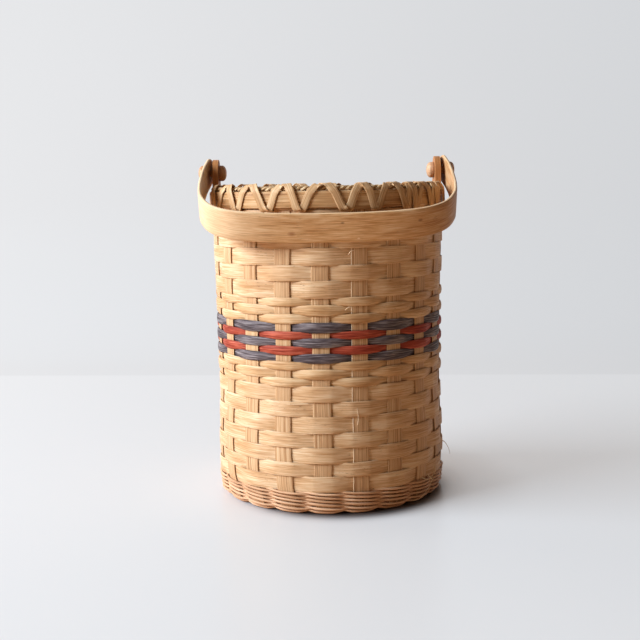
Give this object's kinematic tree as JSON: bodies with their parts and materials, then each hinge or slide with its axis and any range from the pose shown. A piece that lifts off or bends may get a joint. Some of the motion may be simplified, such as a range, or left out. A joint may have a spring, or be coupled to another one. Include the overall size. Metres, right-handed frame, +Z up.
{
  "type": "splint basket",
  "caption": "Round woven splint basket with upright splints, plain-woven rows, a dyed striped band, twined foot, lashed rim and a swinging bentwood handle.",
  "frame": {"origin": "middle of the underside of the lowest crossed splint, on the basket's centre line, level with the floor", "axes": "+Z up through the open top; the front, where the handle lies at rest, faces -Y; the handle's pegs lie along X"},
  "size_m": [0.2502, 0.2416, 0.3236],
  "materials": {
    "natural_splint": "bare, matt, straight grain",
    "blue_splint": "dyed slate blue, matt",
    "red_splint": "dyed brick red, matt",
    "round_rod": "bare, matt",
    "rim_splint": "bare, slightly smooth",
    "seagrass_rope": "twisted fibre",
    "handle_wood": "bare, lightly sanded"
  },
  "bodies": {
    "basket": {"blue_weaver_11": "blue_splint", "blue_weaver_13": "blue_splint", "blue_weaver_15": "blue_splint", "ear_left": "handle_wood", "ear_right": "handle_wood", "inner_hoop": "rim_splint", "lashing_back_over": "rim_splint", "lashing_back_under": "rim_splint", "lashing_front_over": "rim_splint", "lashing_front_under": "rim_splint", "narrow_weaver_08": "natural_splint", "narrow_weaver_09": "natural_splint", "narrow_weaver_10": "natural_splint", "narrow_weaver_16": "natural_splint", "narrow_weaver_17": "natural_splint", "narrow_weaver_18": "natural_splint", "outer_hoop": "rim_splint", "peg_button_left": "handle_wood", "peg_button_right": "handle_wood", "peg_left": "handle_wood", "peg_right": "handle_wood", "red_weaver_12": "red_splint", "red_weaver_14": "red_splint", "rim_filler_back": "seagrass_rope", "rim_filler_front": "seagrass_rope", "rim_weaver": "natural_splint", "spoke_01": "natural_splint", "spoke_02": "natural_splint", "spoke_03": "natural_splint", "spoke_04": "natural_splint", "spoke_05": "natural_splint", "spoke_06": "natural_splint", "spoke_07": "natural_splint", "spoke_08": "natural_splint", "spoke_09": "natural_splint", "spoke_10": "natural_splint", "twining_inner_base": "round_rod", "twining_inner_wall": "round_rod", "twining_outer_base": "round_rod", "twining_outer_wall": "round_rod", "wide_weaver_01": "natural_splint", "wide_weaver_02": "natural_splint", "wide_weaver_03": "natural_splint", "wide_weaver_04": "natural_splint", "wide_weaver_05": "natural_splint", "wide_weaver_06": "natural_splint", "wide_weaver_07": "natural_splint", "wide_weaver_19": "natural_splint", "wide_weaver_20": "natural_splint", "wide_weaver_21": "natural_splint", "wide_weaver_22": "natural_splint", "wide_weaver_23": "natural_splint"},
    "handle": {"handle": "handle_wood"}
  },
  "joints": [
    {"name": "handle_swing", "type": "hinge", "parent": "basket", "child": "handle", "pos_m": [0, 0, 0.3095], "axis": [-1, 0, 0], "range_deg": [0, 225]}
  ]
}
